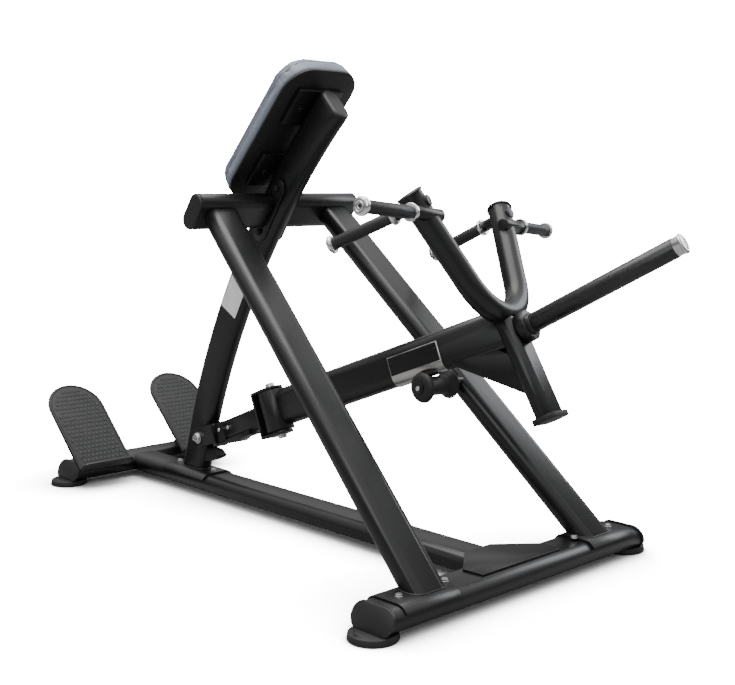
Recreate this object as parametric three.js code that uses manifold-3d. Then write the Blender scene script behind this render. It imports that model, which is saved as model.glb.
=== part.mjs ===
// Chest-supported lever row machine: fixed frame, pivot arm and swinging loading lever.
// Millimetres, +Z up, floor at z = 0, loading end toward -Y, foot plates toward +Y.
// The layout is drawn for frame tube 120 wide; SCALE brings it to the real 110 by 55 tube.
import * as THREE from 'three';
import { mergeVertices } from 'three/addons/utils/BufferGeometryUtils.js';
import Module from 'manifold-3d';

const wasm = await Module();
wasm.setup();

const SCALE = 11 / 12;
const GAP = 0.3 / SCALE;
const RUNNING = 0.08 / SCALE;
const FINE = 64;
const TUBE_WIDE = 120;
const TUBE_THICK = 60;
const BASE_WIDE = 135;
const SPINE_WIDE = 125;
const BASE_THICK = 60;
const BASE_Z = 49;
const BASE_TOP = BASE_Z + BASE_THICK / 2;
const BASE_BOTTOM = BASE_Z - BASE_THICK / 2;
const CAP_THICK = 8;
const CAP_PROUD = 3.5;
const MITRE = 20;
const FRONT_HALF = 513;
const REAR_HALF = 293.5;
const REAR_Y = 1813.9;
const FOOT_RADIUS = 64;
const FOOT_HEIGHT = 18.6;
const FRONT_FOOT_X = 507;
const REAR_FOOT_X = 287.3;
const SADDLE_THICK = 6;

const LEG_TOP = [222.1, 989.5, 1000];
const LEG_FOOT = [338.4, 3.3, 85];
const CROSS_Y = 984.8;
const CROSS_Z = 985.6;
const CROSS_TILT = 36.65;
const CROSS_HALF = 315.6;
const BRACKET_THICK = 8;

const POST_Y0 = 1430.5;
const POST_Z0 = 85;
const POST_LEAN = 15.373;
const POST_RADIUS = 2606;
const POST_LENGTH = 1432;

const PAD_Y = 896.6;
const PAD_Z = 1212.5;
const PAD_TILT = 46.2;
const PAD_WIDE = 277;
const PAD_LONG = 517;
const PAD_CORNER = 86;
const PAD_THICK = 57.5;
const BOARD_THICK = 5;
const MOUNT_WIDE = 170;
const MOUNT_LONG = 132;
const MOUNT_THICK = 14.5;
const MOUNT_OFFSET = 126;

const STEP_X = 215.3;
const STEP_Y = 1677;
const STEP_Z = 81;
const STEP_TILT = 43.5;
const STEP_WIDE = 214;
const STEP_LONG = 371;
const TREAD_THICK = 5;
const STEP_THICK = 4;

const SPOOL_Y = 416.2;
const SPOOL_Z = 478.9;
const SPOOL_X0 = 80;
const SPOOL_X1 = 199;
const SPOOL_RADIUS = 45;
const SPOOL_CORE = 28;
const SPOOL_FLANGE = 12;

const PIVOT_Y = 1357;
const PIVOT_Z = 203.5;
const PIVOT_RADIUS = 12;
const SWING_BOLT_RADIUS = 10;
const SWING_Y = 972.4;
const SWING_Z = 314.2;
const LEVER_RISE = 22;
const RACK_SWING = 13.53;
const LEVER_H = 35.3;
const BARREL_RADIUS = 45;
const BARREL_LOW = -33;
const BARREL_HIGH = 97;
const HEAD_P = 879.6;
const HEAD_H = 74;
const HEAD_LEAN = 7.9;
const HEAD_WIDE = 105;
const HEAD_THICK = 55;
const HEAD_FOOT = -312;
const FORK_RADIUS = 35;
const FORK_BEND = 156.5;
const FORK_HALF_ANGLE = 24.2;
const FORK_ARM = 288;
const SLEEVE_RADIUS = 25.4 / SCALE;
const SLEEVE_W = -61;
const SLEEVE_TIP = 543;

const rad = THREE.MathUtils.degToRad;
const group = new THREE.Group();
group.name = 'lever_row_machine';

const COLOURS = {
  powder: 0x17181a,
  rubber: 0x111214,
  chrome: 0xd5d8dc,
  steel: 0xb5b8bb,
  vinyl: 0x6e7787,
};

function add(name, geometry, colour) {
  const material = new THREE.MeshStandardMaterial({ color: COLOURS[colour] });
  material.name = name + '_material';
  const mesh = new THREE.Mesh(geometry, material);
  mesh.name = name;
  group.add(mesh);
  return mesh;
}

// ---------- solids ----------

function clean(geometry) {
  const bare = geometry.clone();
  bare.deleteAttribute('normal');
  bare.deleteAttribute('uv');
  const merged = mergeVertices(bare, 1e-3);
  const index = merged.index.array;
  const kept = [];
  for (let i = 0; i < index.length; i += 3) {
    const [a, b, c] = [index[i], index[i + 1], index[i + 2]];
    if (a !== b && b !== c && a !== c) {
      kept.push(a, b, c);
    }
  }
  merged.setIndex(kept);
  return faceOut(merged);
}

function signedVolume(geometry) {
  const position = geometry.attributes.position;
  const index = geometry.index.array;
  const [a, b, c] = [new THREE.Vector3(), new THREE.Vector3(), new THREE.Vector3()];
  let volume = 0;
  for (let i = 0; i < index.length; i += 3) {
    a.fromBufferAttribute(position, index[i]);
    b.fromBufferAttribute(position, index[i + 1]);
    c.fromBufferAttribute(position, index[i + 2]);
    volume += a.dot(b.cross(c));
  }
  return volume / 6;
}

// Mirrored frames turn a solid inside out; this winds its faces outward again.
function faceOut(geometry) {
  if (signedVolume(geometry) < 0) {
    const flipped = Array.from(geometry.index.array);
    for (let i = 0; i < flipped.length; i += 3) {
      [flipped[i], flipped[i + 1]] = [flipped[i + 1], flipped[i]];
    }
    geometry.setIndex(flipped);
  }
  return geometry;
}

function toManifold(geometry) {
  const solid = clean(geometry);
  return new wasm.Manifold(new wasm.Mesh({
    numProp: 3,
    vertProperties: new Float32Array(solid.attributes.position.array),
    triVerts: new Uint32Array(solid.index.array),
  }));
}

function fromManifold(manifold) {
  const mesh = manifold.getMesh();
  const count = mesh.vertProperties.length / mesh.numProp;
  const positions = new Float32Array(count * 3);
  for (let i = 0; i < count; i += 1) {
    positions[3 * i] = mesh.vertProperties[mesh.numProp * i];
    positions[3 * i + 1] = mesh.vertProperties[mesh.numProp * i + 1];
    positions[3 * i + 2] = mesh.vertProperties[mesh.numProp * i + 2];
  }
  const geometry = new THREE.BufferGeometry();
  geometry.setAttribute('position', new THREE.BufferAttribute(positions, 3));
  geometry.setIndex(Array.from(mesh.triVerts));
  return geometry;
}

function cut(base, ...tools) {
  let result = toManifold(base);
  for (const tool of tools) {
    result = result.subtract(toManifold(tool));
  }
  return fromManifold(result);
}

function join(...parts) {
  let result = toManifold(parts[0]);
  for (const part of parts.slice(1)) {
    result = result.add(toManifold(part));
  }
  return fromManifold(result);
}

function basis(x, y, z, origin) {
  const matrix = new THREE.Matrix4().makeBasis(x, y, z);
  matrix.setPosition(origin);
  return matrix;
}

function vec(x, y, z) {
  return new THREE.Vector3(x, y, z);
}

// Flat-oval outline: "wide" along x, "thick" along y.
function ovalShape(wide, thick, segments = 12) {
  const radius = Math.min(wide, thick) / 2;
  const straight = Math.abs(wide - thick) / 2;
  const alongX = wide >= thick;
  const points = [];
  for (let side = 0; side < 2; side += 1) {
    for (let i = 0; i <= segments; i += 1) {
      const angle = (alongX ? -Math.PI / 2 : 0) + side * Math.PI + Math.PI * i / segments;
      const sign = side === 0 ? 1 : -1;
      const x = radius * Math.cos(angle) + (alongX ? sign * straight : 0);
      const y = radius * Math.sin(angle) + (alongX ? 0 : sign * straight);
      points.push(new THREE.Vector2(x, y));
    }
  }
  return new THREE.Shape(points);
}

function circleShape(radius, segments = 32) {
  const points = [];
  for (let i = 0; i < segments; i += 1) {
    const angle = 2 * Math.PI * i / segments;
    points.push(new THREE.Vector2(radius * Math.cos(angle), radius * Math.sin(angle)));
  }
  return new THREE.Shape(points);
}

function polygonShape(corners) {
  return new THREE.Shape(corners.map(([x, y]) => new THREE.Vector2(x, y)));
}

function roundedRectShape(wide, tall, radius, segments = 6) {
  const points = [];
  const corners = [
    [wide / 2 - radius, tall / 2 - radius],
    [-wide / 2 + radius, tall / 2 - radius],
    [-wide / 2 + radius, -tall / 2 + radius],
    [wide / 2 - radius, -tall / 2 + radius],
  ];
  corners.forEach(([cx, cy], corner) => {
    for (let i = 0; i <= segments; i += 1) {
      const angle = (corner + i / segments) * Math.PI / 2;
      points.push(new THREE.Vector2(cx + radius * Math.cos(angle), cy + radius * Math.sin(angle)));
    }
  });
  return new THREE.Shape(points);
}

function prism(shape, from, to) {
  const geometry = new THREE.ExtrudeGeometry(shape, { depth: to - from, bevelEnabled: false, steps: 1 });
  geometry.translate(0, 0, from);
  return geometry;
}

function turned(profile, segments = 32) {
  const points = profile.map(([radius, height]) => new THREE.Vector2(radius, height));
  const geometry = new THREE.LatheGeometry(points, segments);
  geometry.rotateX(Math.PI / 2);
  return geometry;
}

// Shape frames: which world axis the outline's x, its y and the extrusion follow.
function alongX(geometry, origin) {
  return geometry.applyMatrix4(basis(vec(0, 1, 0), vec(0, 0, 1), vec(1, 0, 0), origin));
}

function alongY(geometry, origin) {
  return geometry.applyMatrix4(basis(vec(-1, 0, 0), vec(0, 0, 1), vec(0, 1, 0), origin));
}

function mirrorX(geometry) {
  const mirrored = clean(geometry);
  mirrored.scale(-1, 1, 1);
  return faceOut(mirrored);
}

function box(x0, x1, y0, y1, z0, z1) {
  const geometry = new THREE.BoxGeometry(x1 - x0, y1 - y0, z1 - z0);
  geometry.translate((x0 + x1) / 2, (y0 + y1) / 2, (z0 + z1) / 2);
  return geometry;
}

// ---------- base ----------

// Solid that fills everything beyond the slanted end of a beam; negative depth fills the inside instead.
function beyondMitre(half, y, depth = 400) {
  const lean = rad(MITRE);
  const block = depth > 0 ? box(0, depth, -200, 200, -200, 200) : box(depth, 0, -200, 200, -200, 200);
  const frame = basis(vec(Math.cos(lean), 0, Math.sin(lean)), vec(0, 1, 0), vec(-Math.sin(lean), 0, Math.cos(lean)), vec(half, y, BASE_Z));
  return block.applyMatrix4(frame);
}

function crossBeam(half, y, grow = 0) {
  const inner = half - CAP_THICK - GAP;
  const shape = ovalShape(BASE_WIDE + 2 * grow, BASE_THICK + 2 * grow);
  const bar = alongX(prism(shape, -half - 40, half + 40), vec(0, y, BASE_Z));
  return cut(bar, beyondMitre(inner, y), mirrorX(beyondMitre(inner, y)));
}

function capSolid(half, y, grow = 0) {
  const shape = ovalShape(BASE_WIDE + 2 * CAP_PROUD + 2 * grow, BASE_THICK + 2 * CAP_PROUD + 2 * grow, 14);
  const bar = alongX(prism(shape, half - 60, half + 60), vec(0, y, BASE_Z));
  return cut(bar, beyondMitre(half + grow, y), beyondMitre(half - CAP_THICK - grow, y, -200));
}

function beamCap(half, y) {
  return capSolid(half, y);
}

// Thick rubber foot with a seat moulded round the beam end, and a fixing hole beside it.
function rubberFoot(x, y, half, beamY) {
  const profile = [[0, 0], [FOOT_RADIUS - 3, 0], [FOOT_RADIUS, 4], [FOOT_RADIUS - 2.5, FOOT_HEIGHT - 1.5], [FOOT_RADIUS - 5, FOOT_HEIGHT], [0, FOOT_HEIGHT]];
  const hole = prism(circleShape(4, 12), 8, 40).translate(x + 49, y + 7, 0);
  const disc = turned(profile, 40).translate(x, y, 0);
  return cut(disc, capSolid(half, beamY, GAP), crossBeam(half, beamY, GAP), hole);
}

function spineBeam() {
  const bar = alongY(prism(ovalShape(SPINE_WIDE, BASE_THICK), 20, REAR_Y - 20), vec(0, 0, BASE_Z));
  return cut(bar, crossBeam(FRONT_HALF, 0, GAP), crossBeam(REAR_HALF, REAR_Y, GAP));
}

function saddleShape(wide, thick) {
  const radius = thick / 2;
  const flat = wide / 2 - radius;
  const inner = [];
  const outer = [];
  const sweep = rad(62);
  for (let i = 0; i <= 8; i += 1) {
    const angle = Math.PI / 2 - sweep + sweep * i / 8;
    inner.push([flat + (radius + GAP) * Math.cos(angle), (radius + GAP) * Math.sin(angle)]);
    outer.push([flat + (radius + GAP + SADDLE_THICK) * Math.cos(angle), (radius + GAP + SADDLE_THICK) * Math.sin(angle)]);
  }
  const flip = (list) => list.map(([x, y]) => [-x, y]).reverse();
  const top = outer.concat(flip(outer));
  const under = flip(inner).reverse().concat(inner.slice().reverse());
  return polygonShape(top.concat(under));
}

function legSaddle(centre, half) {
  return alongX(prism(saddleShape(BASE_WIDE, BASE_THICK), centre - half, centre + half), vec(0, 0, BASE_Z));
}

function postSaddle() {
  return alongY(prism(saddleShape(SPINE_WIDE, BASE_THICK), 1310, 1556), vec(0, 0, BASE_Z));
}

function junctionPlate() {
  const outline = polygonShape([[-161, 30], [-52, 121], [52, 121], [161, 30], [158, -36], [-158, -36]]);
  return prism(outline, BASE_TOP + GAP, BASE_TOP + GAP + 6);
}

// ---------- upright frame ----------

function crossbarFrame(x = 0) {
  const tilt = rad(CROSS_TILT);
  const long = vec(0, -Math.sin(tilt), Math.cos(tilt));
  const face = vec(0, -Math.cos(tilt), -Math.sin(tilt));
  const along = new THREE.Vector3().crossVectors(long, face);
  return basis(long, face, along, vec(x, CROSS_Y, CROSS_Z));
}

// Positive x side of the crossbar; the outline's x runs up the tilted face.
function crossbarSolid(from, to, grow = 0) {
  const bar = prism(ovalShape(TUBE_WIDE + 2 * grow, TUBE_THICK + 2 * grow), from, to);
  const frame = crossbarFrame();
  bar.applyMatrix4(frame);
  const axis = new THREE.Vector3().setFromMatrixColumn(frame, 2);
  return axis.x > 0 ? bar : mirrorX(bar);
}

function crossbarCap() {
  const shape = ovalShape(TUBE_WIDE, TUBE_THICK, 14);
  const cap = new THREE.ExtrudeGeometry(shape, {
    depth: 3,
    bevelEnabled: true,
    bevelThickness: 5,
    bevelSize: 8,
    bevelOffset: -8,
    bevelSegments: 3,
    steps: 1,
  });
  cap.translate(0, 0, CROSS_HALF - 8);
  const flatBack = cut(cap.applyMatrix4(crossbarFrame()), box(0, CROSS_HALF - 10, 800, 1200, 800, 1200));
  return flatBack;
}

function legAxis() {
  const top = vec(...LEG_TOP);
  const foot = vec(...LEG_FOOT);
  return { top, foot, axis: foot.clone().sub(top).normalize() };
}

function legSolid(grow = 0) {
  const { top, foot, axis } = legAxis();
  const thickDir = new THREE.Vector3().crossVectors(axis, vec(1, 0, 0)).normalize();
  const wideDir = new THREE.Vector3().crossVectors(thickDir, axis).normalize();
  const length = top.distanceTo(foot);
  const bar = prism(ovalShape(TUBE_WIDE + 2 * grow, 2 * 29.5 + 2 * grow), -60, length + 90);
  return bar.applyMatrix4(basis(wideDir, thickDir, axis, top));
}

function leg() {
  const tilt = rad(CROSS_TILT);
  const face = vec(0, -Math.cos(tilt), -Math.sin(tilt));
  const up = vec(0, -Math.sin(tilt), Math.cos(tilt));
  const origin = vec(0, CROSS_Y, CROSS_Z).addScaledVector(face, TUBE_THICK / 2 + GAP);
  const behind = box(-600, 600, -400, 400, -300, 0);
  behind.applyMatrix4(basis(vec(1, 0, 0), up.clone().negate(), face, origin));
  const belowZ = BASE_TOP + GAP + SADDLE_THICK + GAP;
  const floor = box(-700, 700, -300, 300, -200, belowZ);
  return cut(legSolid(), behind, floor);
}

function postPoint(s) {
  const lean = rad(POST_LEAN);
  const angle = lean + s / POST_RADIUS;
  const y = POST_Y0 + POST_RADIUS * (Math.cos(angle) - Math.cos(lean));
  const z = POST_Z0 + POST_RADIUS * (Math.sin(angle) - Math.sin(lean));
  return { centre: vec(0, y, z), tangent: vec(0, -Math.sin(angle), Math.cos(angle)), angle };
}

class PostPath extends THREE.Curve {
  constructor(from, to) {
    super();
    this.from = from;
    this.to = to;
  }

  getPoint(t, target = new THREE.Vector3()) {
    return target.copy(postPoint(this.from + (this.to - this.from) * t).centre);
  }

  computeFrenetFrames(segments) {
    const frames = { tangents: [], normals: [], binormals: [] };
    for (let i = 0; i <= segments; i += 1) {
      const { tangent, angle } = postPoint(this.from + (this.to - this.from) * i / segments);
      frames.tangents.push(tangent);
      frames.normals.push(vec(0, Math.cos(angle), Math.sin(angle)));
      frames.binormals.push(vec(-1, 0, 0));
    }
    return frames;
  }
}

function postSolid(from, to, grow = 0) {
  const path = new PostPath(from, to);
  const shape = ovalShape(TUBE_WIDE + 2 * grow, TUBE_THICK + 2 * grow);
  return new THREE.ExtrudeGeometry(shape, { steps: 24, extrudePath: path, bevelEnabled: false });
}

function acrossX(radius, y, z, half) {
  return alongX(prism(circleShape(radius, FINE), -half, half), vec(0, y, z));
}

function centrePost() {
  const belowZ = BASE_TOP + GAP + SADDLE_THICK + GAP;
  const floor = box(-200, 200, 1200, 1700, -100, belowZ);
  return cut(postSolid(-40, POST_LENGTH), floor, acrossX(PIVOT_RADIUS + GAP, PIVOT_Y, PIVOT_Z, 60));
}

function postCap() {
  const { centre, tangent, angle } = postPoint(POST_LENGTH);
  const cap = new THREE.ExtrudeGeometry(ovalShape(TUBE_WIDE, TUBE_THICK, 14), {
    depth: 3,
    bevelEnabled: true,
    bevelThickness: 9,
    bevelSize: 12,
    bevelOffset: -12,
    bevelSegments: 4,
    steps: 1,
  });
  const trimmed = cut(cap, box(-100, 100, -100, 100, -60, GAP));
  const across = vec(0, Math.cos(angle), Math.sin(angle));
  return trimmed.applyMatrix4(basis(across, vec(-1, 0, 0), tangent, centre));
}

// Plate bolted to the post's flat; carries one half of the crossbar.
function crossbarBracket() {
  const along = vec(0, 920 - 1014.8, 1055.2 - 917.8).normalize();
  const across = vec(0, along.z, -along.y);
  const plate = prism(ovalShape(58, 225), TUBE_THICK / 2 + GAP, TUBE_THICK / 2 + GAP + BRACKET_THICK);
  return plate.applyMatrix4(basis(across, along, vec(-1, 0, 0), vec(0, 967.4, 986.5)));
}

// ---------- pad ----------

function padFrame() {
  const tilt = rad(PAD_TILT);
  const up = vec(0, -Math.cos(tilt), Math.sin(tilt));
  const out = vec(0, Math.sin(tilt), Math.cos(tilt));
  return basis(vec(-1, 0, 0), up, out, vec(0, PAD_Y, PAD_Z));
}

function padSlab(wide, long, corner, from, to, segments = 8) {
  return prism(roundedRectShape(wide, long, corner, segments), from, to).applyMatrix4(padFrame());
}

function chestPad() {
  return padSlab(PAD_WIDE, PAD_LONG, PAD_CORNER, GAP, PAD_THICK, 10);
}

function padBoard() {
  return padSlab(PAD_WIDE - 2, PAD_LONG - 2, PAD_CORNER - 1, -BOARD_THICK, 0, 10);
}

function padMount(offset) {
  const from = -BOARD_THICK - GAP - MOUNT_THICK;
  const plate = prism(roundedRectShape(MOUNT_WIDE, MOUNT_LONG, 6, 3), from, -BOARD_THICK - GAP);
  plate.translate(0, offset, 0).applyMatrix4(padFrame());
  return cut(plate, postSolid(1000, POST_LENGTH + 40, GAP));
}

// ---------- foot plates ----------

function stepFrame() {
  const tilt = rad(STEP_TILT);
  const up = vec(0, Math.cos(tilt), Math.sin(tilt));
  const out = vec(0, -Math.sin(tilt), Math.cos(tilt));
  return basis(vec(1, 0, 0), up, out, vec(STEP_X, STEP_Y, STEP_Z));
}

function stepOutline(inset) {
  const half = STEP_WIDE / 2 - inset;
  const radius = half;
  const points = [new THREE.Vector2(-half, inset), new THREE.Vector2(half, inset)];
  for (let i = 0; i <= 20; i += 1) {
    const angle = Math.PI * i / 20;
    const y = STEP_LONG - inset - radius + radius * Math.sin(angle);
    points.push(new THREE.Vector2(radius * Math.cos(angle), y));
  }
  return new THREE.Shape(points);
}

function footPlate() {
  const top = -TREAD_THICK - GAP;
  const frame = stepFrame();
  const sheet = prism(stepOutline(0), top - STEP_THICK, top).applyMatrix4(frame);
  const lip = prism(roundedRectShape(STEP_WIDE - 14, 66, 16, 5), -5, 0);
  lip.rotateX(Math.PI / 2).translate(0, -4, -4).applyMatrix4(frame);
  const lipTrim = box(-300, 300, -40, 3, -60, top - STEP_THICK).applyMatrix4(frame);
  const lipPlate = cut(lip, lipTrim);
  const ribs = [];
  for (const side of [-18, 18]) {
    const web = [[1779, BASE_TOP + GAP], [1849, BASE_TOP + GAP], [1868, 251], [1745, 135]];
    ribs.push(alongX(prism(polygonShape(web), side - 3, side + 3), vec(STEP_X, 0, 0)));
  }
  const cross = box(STEP_X - 30, STEP_X + 30, 1781, 1847, BASE_TOP + GAP, BASE_TOP + GAP + 6);
  return join(sheet, lipPlate, ...ribs, cross);
}

function footTread() {
  return prism(stepOutline(2), -TREAD_THICK, 0).applyMatrix4(stepFrame());
}

// ---------- rest spool ----------

function restSpool() {
  const width = SPOOL_X1 - SPOOL_X0;
  const flange = SPOOL_FLANGE;
  const profile = [
    [13, -5], [26, -5], [35, -3], [41, 1], [44.5, 6], [SPOOL_RADIUS, 11], [43, flange + 3], [36, flange + 5],
    [SPOOL_CORE + 1, flange + 6], [SPOOL_CORE, flange + 8], [SPOOL_CORE, width - flange - 12],
    [SPOOL_CORE + 2, width - flange - 8], [SPOOL_RADIUS - 2, width - 5], [SPOOL_RADIUS, width - 2],
    [SPOOL_RADIUS - 3, width], [13, width], [13, -5],
  ];
  return alongX(turned(profile, 36), vec(SPOOL_X0, SPOOL_Y, SPOOL_Z));
}

function spoolAxle() {
  const end = SPOOL_X1 + 30 - SPOOL_X0;
  const profile = [
    [0, -12], [8, -12], [9, -11], [9, -8.6], [16, -8], [16, -5 - GAP], [12.6, -5 - GAP], [12.6, end], [0, end],
  ];
  const rod = alongX(turned(profile, 28), vec(SPOOL_X0, SPOOL_Y, SPOOL_Z));
  const collar = alongX(turned([[0, 0], [20, 0], [20, 60], [0, 60]], 28), vec(SPOOL_X1 + GAP, SPOOL_Y, SPOOL_Z));
  return cut(join(rod, collar), legCopeRight());
}

function legCopeRight() {
  return legSolid(GAP);
}

// ---------- pivot arm ----------

function armFrame(swing) {
  const rise = rad(LEVER_RISE);
  const turn = rad(swing);
  const flat = vec(0, -Math.cos(rise), Math.sin(rise));
  const side = vec(1, 0, 0);
  const forward = flat.clone().multiplyScalar(Math.cos(turn)).addScaledVector(side, Math.sin(turn));
  const right = side.clone().multiplyScalar(Math.cos(turn)).addScaledVector(flat, -Math.sin(turn));
  const up = vec(0, Math.sin(rise), Math.cos(rise));
  return basis(forward, right, up, vec(0, SWING_Y, SWING_Z));
}

const ARM = armFrame(0);
const LEVER = armFrame(RACK_SWING);
const PIVOT_LOCAL = vec(0, PIVOT_Y, PIVOT_Z).applyMatrix4(ARM.clone().invert());

// Straight solids in the arm frame: along p (x), q (y) or h (z).
function alongP(geometry) {
  return geometry.applyMatrix4(basis(vec(0, 1, 0), vec(0, 0, 1), vec(1, 0, 0), vec(0, 0, 0)));
}

function alongQ(geometry) {
  return geometry.applyMatrix4(basis(vec(0, 0, 1), vec(1, 0, 0), vec(0, 1, 0), vec(0, 0, 0)));
}

function sidePlate(corners, q0, q1) {
  return alongQ(prism(polygonShape(corners.map(([p, h]) => [h, p])), q0, q1));
}

const CHEEK_IN = 30.7;
const CHEEK_OUT = 46.7;

// Two thick cheeks on the pivot bolt, joined ahead of the post by a narrower neck.
function pivotClevis() {
  const [px, pz] = [PIVOT_LOCAL.x, PIVOT_LOCAL.z];
  const cheek = [[-307, 2], [-307, 68]];
  for (let i = 0; i <= 12; i += 1) {
    const angle = rad(75 + 210 * i / 12);
    cheek.push([px + 34 * Math.cos(angle), pz + 34 * Math.sin(angle)]);
  }
  const parts = [];
  for (const side of [-1, 1]) {
    const pair = (near, far) => (side < 0 ? [-far, -near] : [near, far]);
    parts.push(sidePlate(cheek, ...pair(CHEEK_IN, CHEEK_OUT)));
    const bridge = pair(24, 38);
    parts.push(box(-314, -307, bridge[0], bridge[1], 2, 66));
    const neck = pair(22, 30);
    parts.push(box(-309, -264, neck[0], neck[1], 2, 66));
  }
  parts.push(box(-272, -264, -30, 30, 2, 66));
  const bore = alongQ(prism(circleShape(PIVOT_RADIUS + RUNNING, FINE), -60, 60)).translate(px, 0, pz);
  return cut(join(...parts), bore).applyMatrix4(ARM);
}

// Rubber bumper on the front of the post, which the arm's stop block meets when the lever is lowered.
function postStop() {
  const side = [[1345, 168], [1300, 163], [1280, 149], [1285, 140], [1324, 124], [1358, 118]];
  const block = alongX(prism(polygonShape(side), -19, 19), vec(0, 0, 0));
  return cut(block, postSolid(-40, 600, GAP));
}

function pivotBolt() {
  const half = CHEEK_OUT + GAP;
  const profile = [
    [0, -half - 11], [12, -half - 11], [16, -half - 7], [16, -half - 3], [20, -half - 3], [20, -half],
    [PIVOT_RADIUS, -half], [PIVOT_RADIUS, half], [20, half], [20, half + 3], [15, half + 3], [15, half + 14], [0, half + 14],
  ];
  return alongX(turned(profile, FINE), vec(0, PIVOT_Y, PIVOT_Z));
}

function innerArm() {
  const tube = alongP(prism(roundedRectShape(60, 62, 10, 4), -264 + GAP, -64 - GAP)).translate(0, 0, 34);
  const stopEdge = [
    [-262, 1.7], [-262, 4], [-135, 4], [-135, -12.5], [-200, -12], [-224, -18.3], [-335, -2.5], [-335, 1.7],
  ];
  const stop = sidePlate(stopEdge, -26, 26);
  return join(tube, stop).applyMatrix4(ARM);
}

function swingBracket() {
  const web = box(-64, -55, -38, 38, -45, 109);
  const arms = [];
  for (const [h0, h1] of [[-45, -37], [101, 109]]) {
    const outline = [[-58, -38], [0, -38]];
    for (let i = 1; i < 12; i += 1) {
      const angle = -Math.PI / 2 + Math.PI * i / 12;
      outline.push([38 * Math.cos(angle), 38 * Math.sin(angle)]);
    }
    outline.push([0, 38], [-58, 38]);
    arms.push(prism(polygonShape(outline), h0, h1));
  }
  const bore = prism(circleShape(SWING_BOLT_RADIUS + GAP, FINE), -80, 140);
  return cut(join(web, ...arms), bore).applyMatrix4(ARM);
}

function swingBolt() {
  const profile = [
    [0, -58], [14, -58], [14, -48.5], [18, -48.5], [18, -45 - GAP], [SWING_BOLT_RADIUS, -45 - GAP],
    [SWING_BOLT_RADIUS, 109 + GAP],
    [18, 109 + GAP], [18, 112.5], [15, 112.5], [15, 121], [11, 124], [0, 124],
  ];
  return turned(profile, FINE).applyMatrix4(ARM);
}

// ---------- lever ----------

function headFrame() {
  const local = new THREE.Matrix4().makeRotationY(rad(-HEAD_LEAN));
  local.setPosition(HEAD_P, 0, HEAD_H);
  return local;
}

const HEAD = headFrame();

function barrelSolid(grow = 0) {
  return prism(circleShape(BARREL_RADIUS + grow, 48), BARREL_LOW, BARREL_HIGH);
}

function swingBarrel() {
  const washers = [
    prism(circleShape(30, 28), BARREL_LOW - 3.6, BARREL_LOW + 1),
    prism(circleShape(30, 28), BARREL_HIGH - 1, BARREL_HIGH + 3.6),
  ];
  const bore = prism(circleShape(SWING_BOLT_RADIUS + RUNNING, FINE), -80, 140);
  return cut(join(barrelSolid(), ...washers), bore).applyMatrix4(LEVER);
}

class ForkPath extends THREE.Curve {
  constructor(trim = 0) {
    super();
    this.bend = Math.PI / 2 - rad(FORK_HALF_ANGLE);
    this.arc = FORK_BEND * this.bend;
    this.arm = FORK_ARM + trim;
    this.total = 2 * (this.arc + this.arm);
  }

  place(t) {
    const s = (t - 0.5) * this.total;
    const side = Math.sign(s) || 1;
    const distance = Math.abs(s);
    const angle = Math.min(distance, this.arc) / FORK_BEND;
    const extra = Math.max(0, distance - this.arc);
    const y = FORK_BEND * Math.sin(angle) + extra * Math.cos(this.bend);
    const z = FORK_BEND * (1 - Math.cos(angle)) + extra * Math.sin(this.bend);
    return { y: side * y, z, angle: side * angle };
  }

  getPoint(t, target = new THREE.Vector3()) {
    const { y, z } = this.place(t);
    return target.set(0, y, z);
  }

  computeFrenetFrames(segments) {
    const frames = { tangents: [], normals: [], binormals: [] };
    for (let i = 0; i <= segments; i += 1) {
      const { angle } = this.place(i / segments);
      frames.tangents.push(vec(0, Math.cos(angle), Math.sin(angle)));
      frames.normals.push(vec(0, -Math.sin(angle), Math.cos(angle)));
      frames.binormals.push(vec(1, 0, 0));
    }
    return frames;
  }
}

function forkTube(grow = 0, trim = 0) {
  const path = new ForkPath(trim);
  return new THREE.ExtrudeGeometry(circleShape(FORK_RADIUS + grow, 28), {
    steps: 44,
    extrudePath: path,
    bevelEnabled: false,
  });
}

function forkEnd(side) {
  const lean = rad(FORK_HALF_ANGLE);
  const y = FORK_BEND * Math.cos(lean) + FORK_ARM * Math.sin(lean);
  const z = FORK_BEND * (1 - Math.sin(lean)) + FORK_ARM * Math.cos(lean);
  const plate = turned([[0, -1], [38, -1], [38.5, 0], [38.5, 5], [36, 7], [0, 7]], 32);
  return plate.rotateX(-side * lean).translate(0, side * y, z);
}

const OUT_FROM = [862.2, 186, 361];
const OUT_TO = [839.4, 535.4, 371.3];
const BACK_FROM = [874, 240, 399.6];
const BACK_TO = [556.2, 284, 381.5];
const OUT_NECK = 132;
const OUT_END = 354;
const BACK_NECK = 110;
const BACK_END = 325;

// Frame at a handle's root, Z along the handle; q is mirrored for the left side.
function handleFrame(start, end, side) {
  const from = vec(start[0], side * start[1], start[2]);
  const axis = vec(end[0], side * end[1], end[2]).sub(from).normalize();
  const up = vec(0, 0, 1).addScaledVector(axis, -axis.z).normalize();
  return basis(up, new THREE.Vector3().crossVectors(axis, up), axis, from);
}

const outwardFrame = (side) => handleFrame(OUT_FROM, OUT_TO, side);
const rearwardFrame = (side) => handleFrame(BACK_FROM, BACK_TO, side);

function handleFork() {
  const parts = [forkTube().applyMatrix4(HEAD)];
  for (const side of [-1, 1]) {
    parts.push(forkEnd(side).applyMatrix4(HEAD));
    const out = turned([[0, 0], [17, 0], [19, 2], [19, OUT_NECK - GAP], [0, OUT_NECK - GAP]], 24);
    parts.push(out.applyMatrix4(outwardFrame(side)));
    const back = turned([[0, 0], [15, 0], [17, 2], [17, BACK_NECK - GAP], [0, BACK_NECK - GAP]], 24);
    parts.push(back.applyMatrix4(rearwardFrame(side)));
  }
  return join(...parts).applyMatrix4(LEVER);
}

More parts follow.
